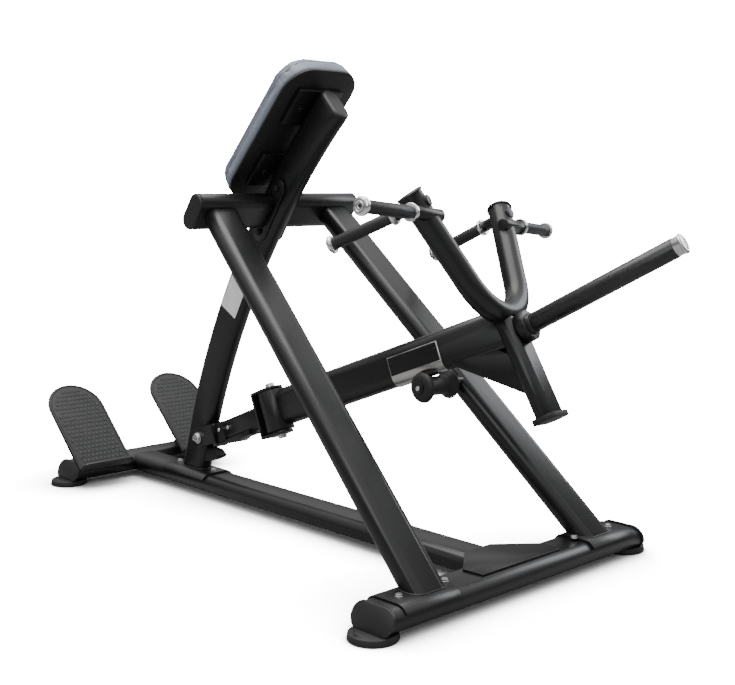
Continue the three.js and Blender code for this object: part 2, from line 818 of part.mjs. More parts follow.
// Chrome bar with an inner collar and a domed end cap; the grip is trapped between them.
function handleBar(start, end, core, collar) {
  return turned([
    [0, start], [collar - 1.5, start], [collar, start + 1.5], [collar, start + 8], [collar - 1.5, start + 9.5],
    [core, start + 9.5], [core, end - 14], [collar - 1.5, end - 14], [collar, end - 12.5], [collar, end - 5],
    [collar - 5, end - 1], [0, end],
  ], 28);
}

function handleGrip(start, end, core, radius) {
  const a = start + 9.5 + GAP;
  const b = end - 14 - GAP;
  return turned([
    [core + GAP, a], [radius - 1, a], [radius, a + 1], [radius, b - 1], [radius - 1, b], [core + GAP, b], [core + GAP, a],
  ], 28);
}

function postOfHead(grow = 0) {
  return prism(ovalShape(HEAD_THICK + 2 * grow, HEAD_WIDE + 2 * grow), HEAD_FOOT, -18);
}

function headPost() {
  return cut(postOfHead().applyMatrix4(HEAD), forkTube(GAP).applyMatrix4(HEAD)).applyMatrix4(LEVER);
}

function postFoot() {
  const plate = prism(roundedRectShape(HEAD_THICK + 22, HEAD_WIDE + 20, 30, 6), HEAD_FOOT - 15, HEAD_FOOT - GAP);
  return plate.applyMatrix4(HEAD).applyMatrix4(LEVER);
}

function leverTube() {
  const bar = alongP(prism(ovalShape(TUBE_THICK, TUBE_WIDE), 10, HEAD_P + 40)).translate(0, 0, LEVER_H);
  const ahead = box(-HEAD_THICK / 2 - GAP, 200, -80, 80, -200, 200).applyMatrix4(HEAD);
  const barrel = prism(circleShape(BARREL_RADIUS + GAP, 48), -60, 130);
  const rear = box(-80, 5, -80, 80, -80, 160);
  return cut(bar, ahead, barrel, rear, forkTube(GAP).applyMatrix4(HEAD)).applyMatrix4(LEVER);
}

function scuffPlate() {
  const inner = TUBE_THICK / 2 + GAP;
  const outer = inner + 2;
  const low = LEVER_H - (TUBE_WIDE - TUBE_THICK) / 2;
  const top = low + TUBE_THICK;
  const points = [[outer, top], [inner, top]];
  for (let i = 0; i <= 16; i += 1) {
    const angle = -Math.PI * i / 16;
    points.push([inner * Math.cos(angle), low + inner * Math.sin(angle)]);
  }
  points.push([-inner, top], [-outer, top]);
  for (let i = 16; i >= 0; i -= 1) {
    const angle = -Math.PI * i / 16;
    points.push([outer * Math.cos(angle), low + outer * Math.sin(angle)]);
  }
  return alongP(prism(polygonShape(points), 477, 657)).applyMatrix4(LEVER);
}

function gusset() {
  const plate = sidePlate([[672, -11], [700, 20], [900, 20], [900, -175], [881, -160]], -25, 25);
  const notch = sidePlate([[838, -20], [870, -20], [870, -44]], -40, 40);
  const tube = alongP(prism(ovalShape(TUBE_THICK + 2 * GAP, TUBE_WIDE + 2 * GAP), 500, 1000)).translate(0, 0, LEVER_H);
  const above = box(500, 1000, -60, 60, 5, 80);
  const ahead = box(-HEAD_THICK / 2 - GAP, 200, -80, 80, -300, 200).applyMatrix4(HEAD);
  return cut(plate, notch, tube, above, ahead).applyMatrix4(LEVER);
}

function headTurned(profile, segments = 36) {
  return alongP(turned(profile, segments)).translate(0, 0, SLEEVE_W).applyMatrix4(HEAD).applyMatrix4(LEVER);
}

const COLLAR_END = 71;

function sleeveCollar() {
  const start = HEAD_THICK / 2 + GAP;
  return headTurned([
    [0, start], [38, start], [45, start + 5], [45, 58], [43, 60], [32, 60], [32, 69], [30, COLLAR_END], [0, COLLAR_END],
  ]);
}

function loadingSleeve() {
  return headTurned([[0, COLLAR_END + GAP], [SLEEVE_RADIUS, COLLAR_END + GAP], [SLEEVE_RADIUS, 516], [0, 516]]);
}

function sleeveEnd() {
  const a = 516 + GAP;
  return headTurned([
    [0, a], [SLEEVE_RADIUS - 1.4, a], [SLEEVE_RADIUS - 1.4, SLEEVE_TIP - 8], [SLEEVE_RADIUS + 1, SLEEVE_TIP - 7],
    [SLEEVE_RADIUS + 1, SLEEVE_TIP - 2], [SLEEVE_RADIUS - 2, SLEEVE_TIP], [0, SLEEVE_TIP],
  ]);
}

// ---------- assembly ----------

function addPair(name, make, colour) {
  add(name + '_right', make(), colour);
  add(name + '_left', mirrorX(make()), colour);
}

add('front_crossbeam', crossBeam(FRONT_HALF, 0), 'powder');
add('rear_crossbeam', crossBeam(REAR_HALF, REAR_Y), 'powder');
add('spine_beam', spineBeam(), 'powder');
addPair('front_beam_cap', () => beamCap(FRONT_HALF, 0), 'powder');
addPair('rear_beam_cap', () => beamCap(REAR_HALF, REAR_Y), 'powder');
addPair('front_foot', () => rubberFoot(FRONT_FOOT_X, 0, FRONT_HALF, 0), 'rubber');
addPair('rear_foot', () => rubberFoot(REAR_FOOT_X, REAR_Y + 4, REAR_HALF, REAR_Y), 'rubber');
add('junction_plate', junctionPlate(), 'powder');
addPair('leg_saddle', () => legSaddle(368, 96), 'powder');
add('post_saddle', postSaddle(), 'powder');
addPair('leg', leg, 'powder');
addPair('crossbar', () => crossbarSolid(TUBE_THICK / 2 + BRACKET_THICK + 2 * GAP, CROSS_HALF - 10 - GAP), 'powder');
addPair('crossbar_cap', crossbarCap, 'powder');
add('crossbar_bracket_left', crossbarBracket(), 'powder');
add('crossbar_bracket_right', mirrorX(crossbarBracket()), 'powder');
add('centre_post', centrePost(), 'powder');
add('post_cap', postCap(), 'powder');
add('pad_mount_upper', padMount(MOUNT_OFFSET), 'powder');
add('pad_mount_lower', padMount(-MOUNT_OFFSET), 'powder');
add('pad_board', padBoard(), 'powder');
add('chest_pad', chestPad(), 'vinyl');
addPair('foot_plate', footPlate, 'powder');
addPair('foot_tread', footTread, 'rubber');
add('rest_spool', restSpool(), 'rubber');
add('spool_axle', spoolAxle(), 'powder');
add('post_stop', postStop(), 'rubber');
add('pivot_bolt', pivotBolt(), 'steel');
add('pivot_clevis', pivotClevis(), 'powder');
add('inner_arm', innerArm(), 'powder');
add('swing_bracket', swingBracket(), 'powder');
add('swing_bolt', swingBolt(), 'steel');
add('swing_barrel', swingBarrel(), 'powder');
add('lever_tube', leverTube(), 'powder');
add('scuff_plate', scuffPlate(), 'steel');
add('head_post', headPost(), 'powder');
add('post_foot', postFoot(), 'rubber');
add('gusset', gusset(), 'powder');
add('handle_fork', handleFork(), 'powder');
add('sleeve_collar', sleeveCollar(), 'powder');
add('loading_sleeve', loadingSleeve(), 'powder');
add('sleeve_end', sleeveEnd(), 'chrome');

for (const [label, side] of [['left', -1], ['right', 1]]) {
  const out = outwardFrame(side);
  const back = rearwardFrame(side);
  add('side_handle_' + label, handleBar(OUT_NECK, OUT_END, 11, 26).applyMatrix4(out).applyMatrix4(LEVER), 'chrome');
  add('side_grip_' + label, handleGrip(OUT_NECK, OUT_END, 11, 18).applyMatrix4(out).applyMatrix4(LEVER), 'rubber');
  add('rear_handle_' + label, handleBar(BACK_NECK, BACK_END, 11, 26).applyMatrix4(back).applyMatrix4(LEVER), 'chrome');
  add('rear_grip_' + label, handleGrip(BACK_NECK, BACK_END, 11, 18).applyMatrix4(back).applyMatrix4(LEVER), 'rubber');
}

// Centre the outline on the origin in plan; the floor stays at z = 0.
const bounds = new THREE.Box3().setFromObject(group);
const shift = bounds.getCenter(new THREE.Vector3());
for (const mesh of group.children) {
  mesh.geometry = clean(mesh.geometry);
  mesh.geometry.translate(-shift.x, -shift.y, 0);
  mesh.geometry.scale(SCALE, SCALE, SCALE);
  mesh.geometry.computeVertexNormals();
}

export default group;
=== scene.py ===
"""Looks of the chest-supported lever row machine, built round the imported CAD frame."""
import math

import bmesh
import bpy
from mathutils import Matrix, Vector


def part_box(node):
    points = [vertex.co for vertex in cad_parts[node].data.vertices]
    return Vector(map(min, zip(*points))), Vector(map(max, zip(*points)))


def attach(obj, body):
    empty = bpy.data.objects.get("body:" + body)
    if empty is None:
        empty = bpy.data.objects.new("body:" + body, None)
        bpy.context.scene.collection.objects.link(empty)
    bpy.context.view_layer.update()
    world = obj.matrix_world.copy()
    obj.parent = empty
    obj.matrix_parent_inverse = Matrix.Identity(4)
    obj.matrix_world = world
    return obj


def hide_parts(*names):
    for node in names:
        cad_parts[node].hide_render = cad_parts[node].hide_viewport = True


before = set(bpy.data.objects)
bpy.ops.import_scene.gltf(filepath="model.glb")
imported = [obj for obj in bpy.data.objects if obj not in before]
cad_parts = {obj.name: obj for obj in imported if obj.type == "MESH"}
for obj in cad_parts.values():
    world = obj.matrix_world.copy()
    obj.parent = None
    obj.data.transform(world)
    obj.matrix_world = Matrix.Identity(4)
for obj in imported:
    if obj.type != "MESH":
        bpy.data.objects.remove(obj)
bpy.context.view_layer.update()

# ---------- reference frames, in metres ----------

# One unit of the machine's layout, which is drawn for tube 120 units wide and built from 110 mm tube.
MM = 0.001 * 11 / 12

beam_low, beam_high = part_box("front_crossbeam")
# Middle of the front crossbeam on the floor: the base is laid out from here.
BASE = Vector(((beam_low.x + beam_high.x) / 2, (beam_low.y + beam_high.y) / 2, 0))


def at(x, y, z):
    """A place given in layout units from BASE."""
    return BASE + Vector((x, y, z)) * MM


def axes(origin, x_dir, y_dir, z_dir):
    m = Matrix((x_dir, y_dir, z_dir)).transposed().to_4x4()
    m.translation = origin
    return m


def turned_frame(origin, z_dir, x_hint):
    """A frame whose Z is z_dir and whose X is x_hint made square to it."""
    z = z_dir.normalized()
    x = (x_hint - z * x_hint.dot(z)).normalized()
    return axes(origin, x, z.cross(x), z)


def arm_frame(swing):
    rise, turn = math.radians(22), math.radians(swing)
    flat = Vector((0, -math.cos(rise), math.sin(rise)))
    side = Vector((1, 0, 0))
    forward = flat * math.cos(turn) + side * math.sin(turn)
    right = side * math.cos(turn) - flat * math.sin(turn)
    return axes(at(0, 972.4, 314.2), forward, right, Vector((0, math.sin(rise), math.cos(rise))))


ARM = arm_frame(0)
LEVER = arm_frame(13.53)
HEAD = LEVER @ Matrix.Translation(Vector((879.6, 0, 74)) * MM) @ Matrix.Rotation(math.radians(-7.9), 4, "Y")

PAD_TILT = math.radians(46.2)
PAD = axes(
    at(0, 896.6, 1212.5),
    Vector((-1, 0, 0)),
    Vector((0, -math.cos(PAD_TILT), math.sin(PAD_TILT))),
    Vector((0, math.sin(PAD_TILT), math.cos(PAD_TILT))),
)
STEP_TILT = math.radians(43.5)


def step_frame(side):
    return axes(
        at(side * 215.3, 1677, 81),
        Vector((1, 0, 0)),
        Vector((0, math.cos(STEP_TILT), math.sin(STEP_TILT))),
        Vector((0, -math.sin(STEP_TILT), math.cos(STEP_TILT))),
    )


# ---------- materials ----------


class Nodes:
    """Short calls for building one procedural material."""

    def __init__(self, name):
        self.material = bpy.data.materials.new(name)
        self.material.use_nodes = True
        self.tree = self.material.node_tree
        self.shader = self.tree.nodes["Principled BSDF"]
        self.coords = self.tree.nodes.new("ShaderNodeTexCoord").outputs["Object"]

    def link(self, source, target):
        self.tree.links.new(source, target)

    def stretched(self, scale, rotation=(0, 0, 0)):
        node = self.tree.nodes.new("ShaderNodeMapping")
        node.inputs["Scale"].default_value = scale
        node.inputs["Rotation"].default_value = rotation
        self.link(self.coords, node.inputs["Vector"])
        return node.outputs["Vector"]

    def noise(self, scale, detail=3, rough=0.5, vector=None):
        node = self.tree.nodes.new("ShaderNodeTexNoise")
        node.inputs["Scale"].default_value = scale
        node.inputs["Detail"].default_value = detail
        node.inputs["Roughness"].default_value = rough
        self.link(vector or self.coords, node.inputs["Vector"])
        return node.outputs["Fac"]

    def cells(self, scale, feature="F1", vector=None):
        node = self.tree.nodes.new("ShaderNodeTexVoronoi")
        node.feature = feature
        node.inputs["Scale"].default_value = scale
        self.link(vector or self.coords, node.inputs["Vector"])
        return node.outputs["Distance"]

    def span(self, value, low, high, to_low, to_high):
        node = self.tree.nodes.new("ShaderNodeMapRange")
        for socket, number in zip(node.inputs[1:5], (low, high, to_low, to_high)):
            socket.default_value = number
        self.link(value, node.inputs["Value"])
        return node.outputs["Result"]

    def maths(self, operation, a, b):
        node = self.tree.nodes.new("ShaderNodeMath")
        node.operation = operation
        for socket, value in zip(node.inputs, (a, b)):
            if isinstance(value, (int, float)):
                socket.default_value = value
            else:
                self.link(value, socket)
        return node.outputs["Value"]

    def colour(self, factor, first, second):
        node = self.tree.nodes.new("ShaderNodeMix")
        node.data_type = "RGBA"
        node.inputs["A"].default_value = (*first, 1)
        node.inputs["B"].default_value = (*second, 1)
        self.link(factor, node.inputs["Factor"])
        self.link(node.outputs["Result"], self.shader.inputs["Base Color"])
        return node.outputs["Result"]

    def roughness(self, value):
        self.link(value, self.shader.inputs["Roughness"])

    def bump(self, height, strength, distance):
        node = self.tree.nodes.new("ShaderNodeBump")
        node.inputs["Strength"].default_value = strength
        node.inputs["Distance"].default_value = distance
        self.link(height, node.inputs["Height"])
        self.link(node.outputs["Normal"], self.shader.inputs["Normal"])

    def fixed(self, **values):
        names = {
            "metal": "Metallic", "gloss": "Specular IOR Level", "coat": "Coat Weight",
            "coat_rough": "Coat Roughness", "sheen": "Sheen Weight", "sheen_rough": "Sheen Roughness",
            "brushed": "Anisotropic", "rough": "Roughness",
        }
        for key, value in values.items():
            self.shader.inputs[names[key]].default_value = value


def powder_coat(name, dark, light, rough):
    """Satin black powder coat: a fine pebbled skin with faint handling marks."""
    m = Nodes(name)
    m.colour(m.span(m.noise(7, 4, 0.6), 0.35, 0.68, 0, 1), dark, light)
    smudge = m.span(m.noise(16, 5, 0.65), 0.3, 0.7, rough - 0.015, rough + 0.025)
    grain = m.noise(1500, 2, 0.5)
    m.roughness(m.maths("ADD", smudge, m.span(grain, 0.3, 0.7, -0.02, 0.03)))
    m.bump(grain, 0.1, 0.0002)
    m.fixed(gloss=0.5)
    return m.material


def moulded_rubber(name, dark, light, rough, grain=900):
    m = Nodes(name)
    m.colour(m.span(m.noise(24, 5, 0.6), 0.3, 0.7, 0, 1), dark, light)
    m.roughness(m.span(m.noise(60, 4, 0.6), 0.3, 0.7, rough - 0.06, rough + 0.06))
    m.bump(m.noise(grain, 3, 0.6), 0.3, 0.0003)
    m.fixed(gloss=0.4)
    return m.material


def ribbed_grip():
    """Soft grip sleeve: matt rubber with a tiny cell texture."""
    m = Nodes("grip_rubber")
    cell = m.cells(520, "F1")
    m.colour(m.span(cell, 0.1, 0.7, 0, 1), (0.012, 0.012, 0.013), (0.02, 0.02, 0.022))
    m.roughness(m.span(m.noise(90, 4, 0.6), 0.3, 0.7, 0.42, 0.55))
    m.bump(cell, 0.25, 0.0004)
    m.fixed(gloss=0.5)
    return m.material


def polished(name, tint, rough, wear=0.06):
    m = Nodes(name)
    m.colour(m.span(m.noise(40, 4, 0.6), 0.3, 0.7, 0, 1), tint, tuple(c * 0.93 for c in tint))
    m.roughness(m.span(m.noise(260, 4, 0.7), 0.35, 0.7, rough, rough + wear))
    m.bump(m.noise(700, 2, 0.5), 0.02, 0.0001)
    m.fixed(metal=1.0)
    return m.material


def brushed_steel():
    """Stainless sheet, brushed along the lever."""
    m = Nodes("brushed_stainless")
    across = m.stretched((900, 900, 900), (0, 0, 0))
    line = LEVER.to_3x3().inverted().to_euler()
    streak = m.stretched((14, 900, 900), (line.x, line.y, line.z))
    lines = m.noise(1.0, 3, 0.6, streak)
    m.colour(m.span(lines, 0.3, 0.7, 0, 1), (0.42, 0.41, 0.4), (0.68, 0.67, 0.65))
    fine = m.span(m.noise(1, 2, 0.5, across), 0, 1, -0.01, 0.01)
    m.roughness(m.maths("ADD", m.span(lines, 0.3, 0.7, 0.2, 0.34), fine))
    m.bump(lines, 0.08, 0.0001)
    m.fixed(metal=1.0)
    return m.material


def zinc():
    m = Nodes("zinc_plate")
    spangle = m.cells(500, "F1")
    m.colour(m.span(spangle, 0.1, 0.7, 0, 1), (0.5, 0.51, 0.53), (0.68, 0.69, 0.7))
    m.roughness(m.span(m.noise(300, 4, 0.6), 0.3, 0.7, 0.22, 0.38))
    m.bump(m.noise(900, 2, 0.5), 0.05, 0.0001)
    m.fixed(metal=1.0)
    return m.material


def vinyl():
    """Upholstery vinyl: blue-grey, with a pebbled leather grain whose creases are painted darker as painted
    shade.
    """
    m = Nodes("pad_vinyl")
    crease = m.cells(520, "DISTANCE_TO_EDGE")
    valley_and_painted_shade = m.span(crease, 0.0, 0.16, 0, 1)
    soft = m.noise(9, 4, 0.6)
    # Painted shade: the grain's creases darken the colour by up to a fifth, on top of the random mottling;
    # the same crease mask also drives the bump.
    m.colour(
        m.maths("MULTIPLY", m.span(soft, 0.3, 0.7, 0.72, 1.0), m.span(valley_and_painted_shade, 0, 1, 0.8, 1)),
        (0.15, 0.167, 0.21), (0.2, 0.222, 0.272),
    )
    m.roughness(m.span(m.noise(45, 4, 0.6), 0.3, 0.7, 0.42, 0.55))
    pores = m.maths("MULTIPLY", m.noise(1100, 3, 0.6), 0.5)
    m.bump(m.maths("ADD", m.maths("MULTIPLY", valley_and_painted_shade, 0.6), pores), 0.3, 0.0004)
    m.fixed(gloss=0.45, sheen=0.05, sheen_rough=0.5)
    return m.material


def sleeve_finish():
    """Hard black oxide on the loading sleeve, rubbed lengthwise by weight plates."""
    m = Nodes("sleeve_oxide")
    line = HEAD.to_3x3().inverted().to_euler()
    rub = m.noise(1.0, 4, 0.6, m.stretched((9, 160, 160), (line.x, line.y, line.z)))
    m.colour(m.span(rub, 0.35, 0.75, 0, 1), (0.01, 0.01, 0.011), (0.03, 0.03, 0.032))
    m.roughness(m.span(rub, 0.3, 0.7, 0.26, 0.38))
    m.bump(m.noise(1200, 2, 0.5), 0.08, 0.0002)
    m.fixed(gloss=0.5)
    return m.material


def label_stock():
    m = Nodes("plain_label")
    m.colour(m.span(m.noise(30, 3, 0.5), 0.3, 0.7, 0, 1), (0.74, 0.74, 0.74), (0.84, 0.84, 0.84))
    m.roughness(m.span(m.noise(200, 3, 0.5), 0.3, 0.7, 0.35, 0.5))
    m.bump(m.noise(700, 2, 0.5), 0.04, 0.0001)
    return m.material


POWDER = powder_coat("powder_black", (0.0055, 0.0056, 0.006), (0.008, 0.0081, 0.0085), 0.31)
CAP_BLACK = powder_coat("cap_black", (0.011, 0.011, 0.0108), (0.016, 0.016, 0.0155), 0.42)
BOARD = moulded_rubber("board_black", (0.009, 0.009, 0.0095), (0.014, 0.014, 0.0145), 0.5, 700)
RUBBER = moulded_rubber("moulded_rubber", (0.011, 0.011, 0.0115), (0.018, 0.018, 0.0185), 0.55)
TREAD = moulded_rubber("tread_rubber", (0.02, 0.0205, 0.0215), (0.027, 0.0275, 0.029), 0.6)
GRIP = ribbed_grip()
CHROME = polished("chrome", (0.93, 0.93, 0.94), 0.08)
BRIGHT = polished("bright_end", (0.72, 0.72, 0.73), 0.16)
ZINC = zinc()
STAINLESS = brushed_steel()
VINYL = vinyl()
SLEEVE = sleeve_finish()
LABEL = label_stock()

# ---------- CAD nodes: finishes and rounded edges ----------

FINISH = {
    CAP_BLACK: ["beam_cap", "crossbar_cap", "post_cap"],
    BOARD: ["pad_board"],
    RUBBER: ["_foot_", "rest_spool", "post_foot", "post_stop"],
    TREAD: ["foot_tread"],
    GRIP: ["grip"],
    CHROME: ["handle_left", "handle_right"],
    BRIGHT: ["sleeve_end"],
    ZINC: ["pivot_bolt", "swing_bolt"],
    STAINLESS: ["scuff_plate"],
    SLEEVE: ["loading_sleeve"],
}
# Rounding of a node's sharp edges, by the first word found in its name, in layout units.
EDGE = {
    "crossbeam": 2.0, "spine_beam": 2.0, "saddle": 1.2, "junction_plate": 1.2,
    "leg_right": 1.2, "leg_left": 1.2, "beam_cap": 1.5, "crossbar_cap": 3.0,
    "foot_plate": 1.2, "foot_tread": 1.2, "pad_board": 1.5, "pad_mount": 1.0,
    "_foot_": 2.5, "rest_spool": 1.2, "gusset": 1.2, "head_post": 0.8,
    "post_foot": 2.0, "pivot_clevis": 1.2, "swing_bracket": 1.2, "bracket": 1.5,
}


def finish_of(name):
    for material, words in FINISH.items():
        if any(word in name for word in words):
            return material
    return POWDER


def edge_of(name):
    for word, size in EDGE.items():
        if word in name:
            return size
    return 0.6


def dress(name, node):
    node.data.materials.clear()
    node.data.materials.append(finish_of(name))
    weld = node.modifiers.new("weld", "WELD")
    weld.merge_threshold = 0.00002
    bevel = node.modifiers.new("bevel", "BEVEL")
    bevel.width = edge_of(name) * MM
    bevel.segments = 2
    bevel.limit_method = "ANGLE"
    bevel.angle_limit = math.radians(38)
    bevel.harden_normals = True
    for polygon in node.data.polygons:
        polygon.use_smooth = True


for node_name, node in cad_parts.items():
    dress(node_name, node)

# ---------- small pieces ----------


def piece(name, mesh, material, body, matrix=None):
    obj = bpy.data.objects.new(name, mesh)
    bpy.context.scene.collection.objects.link(obj)
    if matrix is not None:
        mesh.transform(matrix)
    mesh.materials.append(material)
    for polygon in mesh.polygons:
        polygon.use_smooth = True
    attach(obj, body)
    return obj


def from_bmesh(name, bm):
    bmesh.ops.remove_doubles(bm, verts=bm.verts, dist=1e-7)
    bmesh.ops.recalc_face_normals(bm, faces=bm.faces)
    mesh = bpy.data.meshes.new(name)
    bm.to_mesh(mesh)
    bm.free()
    return mesh


def sharp_by_angle(mesh, degrees):
    mesh.set_sharp_from_angle(angle=math.radians(degrees))


def ring_lathe(bm, profile, segments, matrix):
    """Turns (radius, height) points, in layout units, round the matrix's Z axis."""
    rings = []
    for radius, height in profile:
        if radius < 1e-6:
            rings.append([bm.verts.new(matrix @ Vector((0, 0, height * MM)))])
            continue
        ring = []
        for i in range(segments):
            turn = 2 * math.pi * i / segments
            local = Vector((radius * math.cos(turn), radius * math.sin(turn), height)) * MM
            ring.append(bm.verts.new(matrix @ local))
        rings.append(ring)
    for a, b in zip(rings, rings[1:]):
        for i in range(segments):
            j = (i + 1) % segments
            corners = [a[i % len(a)], a[j % len(a)], b[j % len(b)], b[i % len(b)]]
            unique = list(dict.fromkeys(corners))
            if len(unique) > 2:
                bm.faces.new(unique)


def hex_head(bm, across, height, matrix):
    """A six-sided bolt head with its rounded crown."""
    radius = across / math.sqrt(3)
    profile = [(radius, 0), (radius, height - 1.2), (radius * 0.9, height), (0, height + 0.4)]
    ring_lathe(bm, [(0, 0)] + profile, 6, matrix)


def bolt(name, matrix, body, size=10, material=None, washer=True):
    """Bolt head on a washer; the matrix's Z points out of the surface."""
    bm = bmesh.new()
    if washer:
        disc = [(0, 0), (size * 1.05, 0), (size * 1.05, 1.4), (size * 0.95, 1.8), (0, 1.8)]
        ring_lathe(bm, disc, 28, matrix)
    lifted = matrix @ Matrix.Translation((0, 0, 0.0016 if washer else 0))
    hex_head(bm, size * 1.6, size * 0.62, lifted)
    mesh = from_bmesh(name, bm)
    sharp_by_angle(mesh, 35)
    return piece(name, mesh, material or ZINC, body)


def cap_screw(name, matrix, body, radius, height, material):
    """Round socket-head screw with a round recess in its head."""
    bm = bmesh.new()
    socket = radius * 0.5
    profile = [(0, 0), (radius, 0), (radius, height * 0.7), (radius * 0.86, height), (socket, height)]
    ring_lathe(bm, profile, 24, matrix)
    inner = [
        (socket, height), (socket * 0.94, height - 0.2), (socket * 0.9, height * 0.4), (0, height * 0.3),
    ]
    ring_lathe(bm, inner, 24, matrix)
    mesh = from_bmesh(name, bm)
    sharp_by_angle(mesh, 35)
    return piece(name, mesh, material, body)


def washer_ring(name, matrix, body, inner, outer, thick, material):
    bm = bmesh.new()
    edge = min(0.5, thick / 3)
    profile = [
        (inner, 0), (outer, 0), (outer, thick - edge), (outer - edge, thick),
        (inner + edge, thick), (inner, thick - edge), (inner, 0),
    ]
    ring_lathe(bm, profile, 40, matrix)
    mesh = from_bmesh(name, bm)
    sharp_by_angle(mesh, 35)
    return piece(name, mesh, material, body)


X, Y, Z = Vector((1, 0, 0)), Vector((0, 1, 0)), Vector((0, 0, 1))

# ---------- places the detail pieces share, in layout units ----------

PIVOT_PLACE = (1357, 203.5)
SPOOL_PLACE = (416.2, 478.9)
SLEEVE_TIP = 543
SLEEVE_DROP = -61
STEP_LONG = 371
STEP_CURVE_Y = STEP_LONG - 107
# Each handle: root, end (along, across and above the lever), inner collar and tip along its axis.
SIDE_HANDLE = ((862.2, 186, 361), (839.4, 535.4, 371.3), 132, 354)
REAR_HANDLE = ((874, 240, 399.6), (556.2, 284, 381.5), 110, 325)
HANDLE_CAP = 26

# ---------- detail pieces ----------

NEAR_FAR = ((-1, "left"), (1, "right"))


def spot(origin, outward, hint=Z):
    """Where a fastener sits: its Z points out of the surface."""
    if abs(outward.normalized().dot(hint.normalized())) > 0.95:
        hint = X
    return turned_frame(origin, outward, hint)


def bead(name, points, radius, material, body, closed=True):
    """A round bead along a line of points, with the ripples a weld has."""
    bm = bmesh.new()
    rings = []
    count = len(points)
    for i, point in enumerate(points):
        before = points[i - 1] if closed or i else point
        after = points[(i + 1) % count] if closed or i + 1 < count else point
        run = (after - before).normalized()
        side = run.cross(Z if abs(run.z) < 0.9 else X).normalized()
        top = side.cross(run)
        thick = radius * (1 + 0.14 * math.sin(i * 2.1))
        ring = []
        for k in range(8):
            turn = 2 * math.pi * k / 8
            ring.append(bm.verts.new(point + (side * math.cos(turn) + top * math.sin(turn)) * thick * MM))
        rings.append(ring)
    pairs = list(zip(rings, rings[1:]))
    if closed:
        pairs.append((rings[-1], rings[0]))
    for a, b in pairs:
        for k in range(8):
            bm.faces.new((a[k], a[(k + 1) % 8], b[(k + 1) % 8], b[k]))
    if not closed:
        bm.faces.new(rings[0])
        bm.faces.new(rings[-1])
    return piece(name, from_bmesh(name, bm), material, body)


def even_path(points, step):
    """Closed path resampled to even steps, given in layout units."""
    out = []
    for a, b in zip(points, points[1:] + points[:1]):
        parts = max(1, round((b - a).length / (step * MM)))
        out += [a.lerp(b, k / parts) for k in range(parts)]
    return out


def foot_outline(node_name):
    """Outline of the flat cut at the bottom of a CAD node."""
    points = [v.co.copy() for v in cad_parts[node_name].data.vertices]
    floor = min(p.z for p in points)
    low = [p for p in points if p.z < floor + 0.0006]
    middle = sum(low, Vector()) / len(low)
    low.sort(key=lambda p: math.atan2(p.y - middle.y, p.x - middle.x))
    kept = []
    for p in low:
        if not kept or (p - kept[-1]).length > 0.0008:
            kept.append(p)
    return kept


def weld_feet():
    for name in ("leg_left", "leg_right", "centre_post"):
        path = even_path(foot_outline(name), 3.2)
        bead("weld_" + name, path, 2.6, POWDER, "frame")


def base_bolts():
    for side, label in NEAR_FAR:
        _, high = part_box("leg_saddle_" + label)
        for i, offset in enumerate((73, -88)):
            place = at(side * (353 + offset), -4, 0)
            place.z = high.z
            bolt("base_bolt_%s_%d" % (label, i), spot(place, Z), "frame", 9.5)
    _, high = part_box("post_saddle")
    for i, y in enumerate((1336, 1536)):
        place = at(0, y, 0)
        place.z = high.z
        bolt("post_bolt_%d" % i, spot(place, Z), "frame", 9)


def bracket_bolts():
    for side, label in NEAR_FAR:
        low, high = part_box("crossbar_bracket_" + label)
        for i, (y, z) in enumerate(((920, 1055.2), (1014.8, 917.8))):
            place = at(0, y, z)
            place.x = high.x if side > 0 else low.x
            name = "bracket_bolt_%s_%d" % (label, i)
            bolt(name, spot(place, X * side), "frame", 12, POWDER)


def pad_bolts():
    for side, label in NEAR_FAR:
        for i, u in enumerate((-127, 127)):
            place = PAD @ (Vector((side * 50, u, -19.9)) * MM)
            name = "pad_bolt_%s_%d" % (label, i)
            bolt(name, spot(place, PAD.to_3x3() @ -Z, X), "frame", 11, POWDER)


def clevis_screws():
    for side, label in NEAR_FAR:
        for i, (p, h) in enumerate(((-288, 41), (-235, 37))):
            place = ARM @ (Vector((p, side * 30.2, h)) * MM)
            matrix = spot(place, X * side)
            cap_screw("clevis_screw_%s_%d" % (label, i), matrix, "pivot_arm", 6.5, 4, ZINC)


def pivot_washers():
    for side, label in NEAR_FAR:
        place = at(side * 62.5, *PIVOT_PLACE)
        washer_ring("pivot_ring_" + label, spot(place, X * side), "frame", 5, 9, 1.2, BRIGHT)


def spool_end():
    matrix = spot(at(67.9, *SPOOL_PLACE), -X)
    cap_screw("spool_screw", matrix, "frame", 7, 2.5, BRIGHT)


def sleeve_mark():
    tip = HEAD @ (Vector((SLEEVE_TIP, 0, SLEEVE_DROP)) * MM)
    out = HEAD.to_3x3() @ X
    matrix = spot(tip, out)
    washer_ring("sleeve_dimple", matrix, "lever", 4.5, 8, 0.8, BRIGHT)
    washer_ring("sleeve_rim", matrix, "lever", 19, 23.5, 0.9, BRIGHT)
    # Painted shade: the hole in the sleeve's end is drawn as a thin flat black disc that stands in for the
    # shade inside it.
    bm = bmesh.new()
    ring_lathe(bm, [(0, 0.1), (4.4, 0.1), (4.4, 0.25), (0, 0.3)], 24, matrix)
    piece("sleeve_hole_shade", from_bmesh("sleeve_hole_shade", bm), POWDER, "lever")


def handle_line(start, end, side):
    a = LEVER @ (Vector((start[0], side * start[1], start[2])) * MM)
    b = LEVER @ (Vector((end[0], side * end[1], end[2])) * MM)
    return turned_frame(a, b - a, Z)


